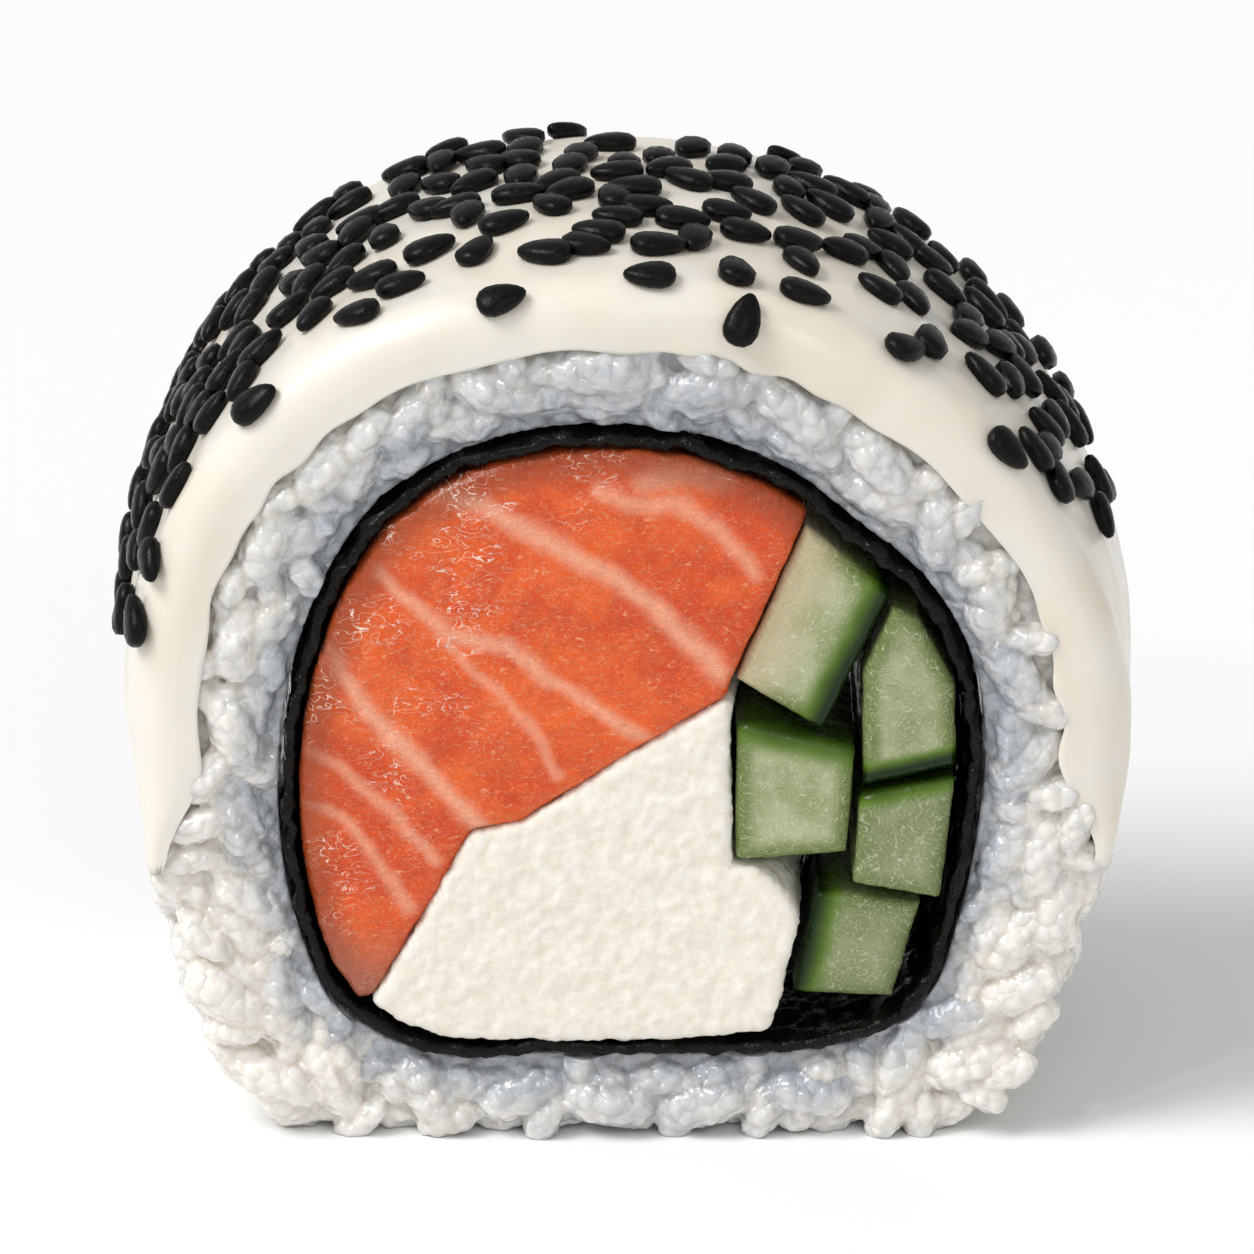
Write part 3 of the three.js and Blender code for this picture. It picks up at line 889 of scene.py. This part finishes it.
# Painted shade in the creases between grains, a little yellow further out.
crease_shade_tint = mixed(tree, milk_and_painted_light, CLEAR_CREASE_SHADE, MILKY_CREASE_SHADE)
tint = veiled(tree, kept_number(tree, "crease"), 0.45, mixed(tree, milk_and_painted_light, CLEAR_GRAIN_IN_SHADE, MILKY_GRAIN), crease_shade_tint)
# Painted glints: thin white curls in the colour stand for small highlights on the wet grains.
painted_glints = place_group(tree, fibres, Position=position, Scale=1.7, Width=0.022, Wander=2.5)
tint = veiled(tree, painted_glints["Mask"], 0.4, tint, GLINT_WHITE)
set_finish(tree, shader, Base_Color=tint, Roughness=film["Roughness"], Coat_Weight=0.7, Coat_Roughness=0.04)
set_finish(tree, shader, Subsurface_Weight=0.5, Subsurface_Radius=(1.3, 1.2, 1.0), Subsurface_Scale=MM)
from_bead = beads.outputs["Distance"]
raised(tree, shader, maths(tree, "SUBTRACT", 1.0, maths(tree, "MULTIPLY", from_bead, from_bead)), 0.4)
for piece in rice_pieces:
    hand_over(piece, cooked, "cooked_rice", "rice")

# %% [markdown]
# ## Nori
# The nori is a thin sheet of pressed seaweed that the wet rice has softened, so its cut edge wanders and
# wrinkles. It starts as an open tube, is moved onto its own outline, wrinkled, and then given its
# thickness.

# %% Nori shape
NORI_THICK = 0.6
NORI_LEAF = 0.45
NORI_START_RADIUS = 18
NORI_SIDES = 420
NORI_CUTS = 60

deselect_all()
bpy.ops.mesh.primitive_cylinder_add(
    vertices=NORI_SIDES,
    radius=NORI_START_RADIUS * MM,
    depth=DEPTH * MM,
    end_fill_type="NOTHING",
    location=(0, 0, CENTRE_HEIGHT * MM),
    rotation=(math.pi / 2, 0, 0),
)
nori = bpy.context.object
nori.name = "nori_sheet_wrapped"
bpy.ops.object.transform_apply(location=True, rotation=True, scale=True)
bpy.context.tool_settings.mesh_select_mode = (False, True, False)
bpy.ops.object.mode_set(mode="EDIT")
bpy.ops.mesh.select_all(action="DESELECT")
bpy.ops.object.mode_set(mode="OBJECT")
for edge in nori.data.edges:
    first, second = (nori.data.vertices[k].co.y for k in edge.vertices)
    edge.select = abs(first - second) > MM
bpy.ops.object.mode_set(mode="EDIT")
bpy.ops.mesh.subdivide(number_cuts=NORI_CUTS)
bpy.ops.object.mode_set(mode="OBJECT")
print("nori tube has", len(nori.data.polygons), "faces")

# %% Nori wrapped and wrinkled
degrees, radius, y = to_round(read_points(nori))
turn = np.radians(degrees)
edge_wave = 0.12 * np.sin(11 * turn) + 0.08 * np.sin(47 * turn + 1) + 0.05 * np.sin(83 * turn)
y = y / HALF * (HALF - 0.3 + edge_wave)
middle_radius = radius_from(NORI_OUTSIDE, degrees) - NORI_THICK / 2
write_points(nori, from_round(degrees, middle_radius, y))
roughen(nori, "CLOUDS", 1.7, 0.7)
roughen(nori, "CLOUDS", 0.7, 0.25)
apply_modifier(nori, "SOLIDIFY", thickness=NORI_LEAF * MM, offset=0)
roughen(nori, "CLOUDS", 0.9, 0.45)
print("nori has", len(nori.data.polygons), "faces")

# %% Nori material
SEAWEED_BLACK = (0.001, 0.0012, 0.001, 1)
SEAWEED_GREEN = (0.006, 0.006, 0.004, 1)

seaweed, tree, shader, position = start_material("wet_seaweed")
film = place_group(tree, moist, Position=position, Grain=0.7, Shine=0.06, Dull=0.22)
tint = mixed(tree, film["Height"], SEAWEED_BLACK, SEAWEED_GREEN)
set_finish(tree, shader, Base_Color=tint, Roughness=film["Roughness"], Specular_IOR_Level=0.15)
raised(tree, shader, film["Height"], 0.3)
hand_over(nori, seaweed, "nori_sheet", "nori")

# %% [markdown]
# ## Salmon
# A strip of raw salmon, cut across its flakes. The pale lines are thin sheets of fat between the flakes, and
# they run through the strip from end to end, so each is a seam in a plane and needs only its places on the cut
# face. The flesh shows fine fibres and a wet shine. Painted shade darkens it where it bends under the nori, it
# is brown and glassy at its lower tip, and on the side towards the light, short pale streaks along its fibres
# are painted highlights.

# %% Salmon shape
SALMON_LIMIT = 150000

salmon = start_from("salmon", "raw_salmon_strip")
fine_skin(salmon, 0.24, 2)
grow(salmon, 0.1)
roughen(salmon, "CLOUDS", 2.5, 0.25)
roughen(salmon, "CLOUDS", 0.6, 0.06)
thin_out(salmon, SALMON_LIMIT)
degrees, radius, y = to_round(read_points(salmon))
from_sheet = radius_from(NORI_OUTSIDE, degrees) - NORI_THICK - radius
# Painted shade: how near a point is to the nori, where the salmon bends under it.
keep_number(salmon, "nori_shade_share", 1 - smoothstep(from_sheet, 0.3, 2.6))

# %% Fat lines, each a half width, a strength and its places across and up
FAT_LINES = [
    (1.0, 1.0, [(-9.5, 35.6), (-6.9, 34.4), (-3.8, 32.6), (-0.7, 30.7), (1.6, 28.8), (4.5, 25.7)]),
    (
        0.75,
        0.9,
        [(-12.7, 31.1), (-10.3, 29.0), (-9.1, 28.0), (-6.1, 27.1), (-3.8, 25.4), (-1.5, 23.7), (0.4, 22.4)],
    ),
    (0.6, 0.7, [(-10.3, 29.0), (-8.4, 26.3), (-6.1, 24.1), (-4.6, 22.1), (-3.7, 20.2)]),
    (0.9, 1.0, [(-15.4, 27.1), (-14.1, 24.9), (-12.4, 22.7), (-10.4, 20.7), (-7.9, 17.5)]),
    (0.6, 0.75, [(-16.6, 21.7), (-14.7, 20.7), (-12.4, 18.5), (-9.9, 15.7)]),
    (0.65, 0.75, [(-16.6, 18.5), (-14.7, 18.0), (-13.4, 16.5), (-12.3, 14.6), (-11.4, 13.1)]),
    (0.9, 0.8, [(-1.4, 35.6), (0.1, 34.9), (2.4, 34.9), (3.9, 33.9), (5.4, 32.3), (6.3, 31.1)]),
    (1.2, 0.9, [(0.8, 36.1), (2.6, 36.5), (4.7, 36.4)]),
]

fish, tree, shader, position = start_material("raw_salmon_flesh")
flat = vectors(tree, "MULTIPLY", position, (1, 0.12, 1))
drift = tree.nodes.new("ShaderNodeTexNoise")
drift.inputs["Scale"].default_value = 0.45
drift.inputs["Detail"].default_value = 3
tree.links.new(flat, drift.inputs["Vector"])
wander = vectors(tree, "SUBTRACT", drift.outputs["Color"], (0.5, 0.5, 0.5))
on_face = vectors(tree, "MULTIPLY", position, (1, 0, 1))
wandered = vectors(tree, "MULTIPLY_ADD", wander, (1.2, 0, 1.2), on_face)
fat = None
for half_width, strength, corners in FAT_LINES:
    for (x0, z0), (x1, z1) in zip(corners, corners[1:]):
        ends = {"Start": (x0, 0, z0), "End": (x1, 0, z1)}
        seam = place_group(tree, seam_line, Position=wandered, Half_Width=half_width, **ends)
        mask = maths(tree, "MULTIPLY", seam["Mask"], strength)
        fat = mask if fat is None else maths(tree, "MAXIMUM", fat, mask)
print(sum(len(corners) - 1 for _, _, corners in FAT_LINES), "seams of fat")

# %% Salmon flesh
FLESH_DEEP = (0.64, 0.06, 0.004, 1)
FLESH_BRIGHT = (0.8, 0.115, 0.01, 1)
THREAD_ORANGE = (0.92, 0.42, 0.22, 1)
FAT_PINK = (0.86, 0.36, 0.22, 1)
NORI_EDGE_SHADE = (0.28, 0.05, 0.014, 1)
TIP_BROWN = (0.36, 0.13, 0.08, 1)
SALMON_GLINT_WHITE = (0.95, 0.82, 0.72, 1)

lean = cloudy(tree, flat, 0.25, 3.0, 0.6, 0.5)
flesh = mixed(tree, between(tree, lean, 0.35, 0.65), FLESH_DEEP, FLESH_BRIGHT)
grain_way = vectors(tree, "MULTIPLY", position, (0.8, 0.3, 1.6))
threads = place_group(tree, fibres, Position=grain_way, Scale=0.8, Width=0.018, Wander=2.4)
fine_threads = place_group(tree, fibres, Position=grain_way, Scale=1.5, Width=0.03, Wander=1.8)
flesh = veiled(tree, threads["Mask"], 0.6, flesh, THREAD_ORANGE)
flesh = veiled(tree, fine_threads["Mask"], 0.35, flesh, THREAD_ORANGE)
flesh = mixed(tree, fat, flesh, FAT_PINK)
# Painted shade where the salmon bends under the nori.
flesh = veiled(tree, kept_number(tree, "nori_shade_share"), 0.85, flesh, NORI_EDGE_SHADE)
tip = between(tree, vectors(tree, "DOT_PRODUCT", wandered, (0.3, 0, 1)), 4.5, 9, 0.7, 0.0)
flesh = mixed(tree, tip, flesh, TIP_BROWN)

# %% Salmon's painted highlight streaks and shine
# Painted highlights: short pale streaks along the fibres, in patches, on the side towards the light.
glint_threads = place_group(tree, fibres, Position=grain_way, Scale=1.1, Width=0.02, Wander=1.2)
glint_streaks = maths(tree, "MULTIPLY", between(tree, cloudy(tree, wandered, 0.3), 0.45, 0.6), glint_threads["Mask"])
lit = between(tree, vectors(tree, "DOT_PRODUCT", position, (-1, 0, 0.5)), 15, 24)
flesh = veiled(tree, maths(tree, "MULTIPLY", glint_streaks, lit), 0.8, flesh, SALMON_GLINT_WHITE)
film = place_group(tree, moist, Position=position, Grain=0.6, Shine=0.16, Dull=0.42)
set_finish(tree, shader, Base_Color=flesh, Roughness=film["Roughness"], Specular_IOR_Level=0.28)
set_finish(tree, shader, Subsurface_Weight=0.2, Subsurface_Radius=(1.5, 0.5, 0.2), Subsurface_Scale=MM)
set_finish(tree, shader, Coat_Weight=0.2, Coat_Roughness=0.1)
wavy = maths(tree, "ADD", film["Height"], maths(tree, "MULTIPLY", threads["Mask"], 0.12))
raised(tree, shader, wavy, 0.2)
hand_over(salmon, fish, "raw_salmon", "salmon")

# %% [markdown]
# ## Cream cheese
# A cut block of soft cheese: matt, warm white, with small crumbs all over, a few shallow pits and faint
# yellow spots of whey. The block's skin is remade fine enough to hold the crumbs.

# %% Cheese shape
CHEESE_LIMIT = 170000

cheese = start_from("cream_cheese", "soft_cheese_block")
fine_skin(cheese, 0.19, 2)
grow(cheese, 0.22)
roughen(cheese, "CLOUDS", 1.5, 0.25)
roughen(cheese, "VORONOI", 0.5, -0.16, 0.3)
thin_out(cheese, CHEESE_LIMIT)

# %% Cheese material
CURD_CREAM = (0.82, 0.765, 0.66, 1)
CURD_WHITE = (0.89, 0.85, 0.77, 1)
WHEY_YELLOW = (0.78, 0.66, 0.4, 1)

curd, tree, shader, position = start_material("soft_cheese_curd")
lumps = cloudy(tree, position, 1.2, 4.0, 0.65)
spots_of_whey = between(tree, cloudy(tree, position, 0.9, 3.0, 0.6, 0.4), 0.66, 0.74)
tint = mixed(tree, between(tree, lumps, 0.35, 0.65), CURD_CREAM, CURD_WHITE)
tint = veiled(tree, spots_of_whey, 0.55, tint, WHEY_YELLOW)
set_finish(tree, shader, Base_Color=tint, Roughness=between(tree, lumps, 0.3, 0.7, 0.7, 0.5))
set_finish(tree, shader, Subsurface_Weight=0.3, Subsurface_Radius=(1.0, 0.8, 0.6), Subsurface_Scale=MM)
raised(tree, shader, lumps, 0.12)
hand_over(cheese, curd, "soft_cheese", "cream_cheese")

# %% [markdown]
# ## Cucumber
# Five sticks of cucumber, cut lengthwise, so the dark skin is on one side of some of them. Each stick
# keeps four numbers: how near a point is to the skin side, how near it is to the stick's outline, where
# the flesh is greener, how far it has taken on the warm colour of the salmon beside it, and how shaded
# its flesh is as a whole. The material mixes its colours by these.

# %% Cucumber outlines, across and up
OUTLINES = {
    "cucumber_1": [(5.3, 25.2), (9.7, 22.4), (13.1, 29.8), (8.75, 33.5)],
    "cucumber_2": [
        (11.8, 19.4), (16.55, 20.5), (16.4, 24.9), (15.8, 26.1), (14.6, 28.3), (13.2, 29.1), (11.75, 25.6),
    ],
    "cucumber_3": [(5.35, 15.4), (11, 15.8), (11.4, 21.5), (5.9, 22.95), (5.35, 22.6)],
    "cucumber_4": [(11.3, 14.1), (15.8, 13.3), (16.5, 19.95), (11.65, 18.95)],
    "cucumber_5": [(8.3, 7.9), (13.4, 7.6), (14.8, 12.8), (9.5, 13.5)],
}
print(sum(len(outline) for outline in OUTLINES.values()), "corners on", len(OUTLINES), "sticks")

# %% Cucumber skins: the two ends of the skin side, its depth and darkness, and how shaded the flesh is
SKINS = {
    "cucumber_1": ((13.1, 29.8), (9.7, 22.4), 2.2, 1.0, 0.0),
    "cucumber_2": ((16.55, 20.5), (11.8, 19.4), 1.6, 1.25, 0.25),
    "cucumber_3": ((5.6, 22.9), (11.4, 21.5), 1.9, 0.7, 0.0),
    "cucumber_4": ((16.5, 19.95), (11.65, 18.95), 1.2, 0.7, 0.6),
    "cucumber_5": ((8.3, 7.9), (9.5, 13.5), 2.0, 0.95, 0.6),
}
SALMON_SIDE = ((5.3, 25.2), (8.75, 33.5))
RIM_WIDTH = 1.7
WARM_WIDTH = 3.4


def from_line(points, start, end):
    start, end = np.array(start), np.array(end)
    along = (end - start) / np.linalg.norm(end - start)
    reached = points[:, [0, 2]] - start
    return np.abs(reached[:, 0] * along[1] - reached[:, 1] * along[0])


sticks = []
for node, (start, end, skin, dark, shaded) in SKINS.items():
    outline = OUTLINES[node]
    stick = start_from(node, f"{node}_stick")
    fine_skin(stick, 0.2, 2)
    roughen(stick, "CLOUDS", 2, 0.16)
    points = read_points(stick)
    sides = [from_line(points, *side) for side in zip(outline, outline[1:] + outline[:1])]
    keep_number(stick, "skin_share", dark * np.clip(1 - from_line(points, start, end) / skin, 0, 1))
    keep_number(stick, "rim_share", 1 - smoothstep(np.min(sides, axis=0), 0, RIM_WIDTH))
    warm = 1 - smoothstep(from_line(points, *SALMON_SIDE), 0, WARM_WIDTH)
    keep_number(stick, "warm_share", warm * (node == "cucumber_1"))
    keep_number(stick, "shaded", np.full(len(points), shaded))
    sticks.append(stick)
print(len(sticks), "sticks")

# %% Cucumber flesh
FLESH_GREEN = (0.29, 0.33, 0.16, 1)
FLESH_PALE = (0.43, 0.45, 0.27, 1)
RIM_GREEN = (0.1, 0.16, 0.02, 1)
WARM_FLESH = (0.62, 0.5, 0.33, 1)
SHADED_FLESH = (0.17, 0.21, 0.09, 1)
CELL_WHITE = (0.72, 0.75, 0.55, 1)

crisp, tree, shader, position = start_material("crisp_cucumber")
water = cloudy(tree, position, 0.45, 2.0)
flesh = mixed(tree, between(tree, water, 0.35, 0.65), FLESH_GREEN, FLESH_PALE)
uneven = maths(tree, "MULTIPLY", maths(tree, "SUBTRACT", water, 0.5), 0.7)
rim = between(tree, maths(tree, "ADD", kept_number(tree, "rim_share"), uneven), 0.2, 1.0)
flesh = veiled(tree, rim, 0.85, flesh, RIM_GREEN)
flesh = veiled(tree, kept_number(tree, "warm_share"), 0.8, flesh, WARM_FLESH)
flesh = mixed(tree, kept_number(tree, "shaded"), flesh, SHADED_FLESH)
cells = place_group(tree, fibres, Position=position, Scale=1.0, Width=0.03, Wander=3.0)
flesh = veiled(tree, cells["Mask"], 0.45, flesh, CELL_WHITE)

# %% Cucumber skin and shine
SKIN_GREEN = (0.1, 0.19, 0.015, 1)
SKIN_DARK = (0.006, 0.02, 0.002, 1)

share = maths(tree, "ADD", kept_number(tree, "skin_share"), maths(tree, "MULTIPLY", uneven, 0.3))
green = mixed(tree, between(tree, share, 0.35, 0.85), SKIN_GREEN, SKIN_DARK)
flesh = mixed(tree, between(tree, share, 0.1, 0.55), flesh, green)
film = place_group(tree, moist, Position=position, Grain=0.5, Shine=0.12, Dull=0.4)
set_finish(tree, shader, Base_Color=flesh, Roughness=film["Roughness"], Specular_IOR_Level=0.2)
set_finish(tree, shader, Subsurface_Weight=0.25, Subsurface_Radius=(0.8, 1.0, 0.4), Subsurface_Scale=MM)
set_finish(tree, shader, Coat_Weight=0.12, Coat_Roughness=0.1)
raised(tree, shader, film["Height"], 0.06)
for stick, node in zip(sticks, SKINS):
    hand_over(stick, crisp, "fresh_cucumber", node)
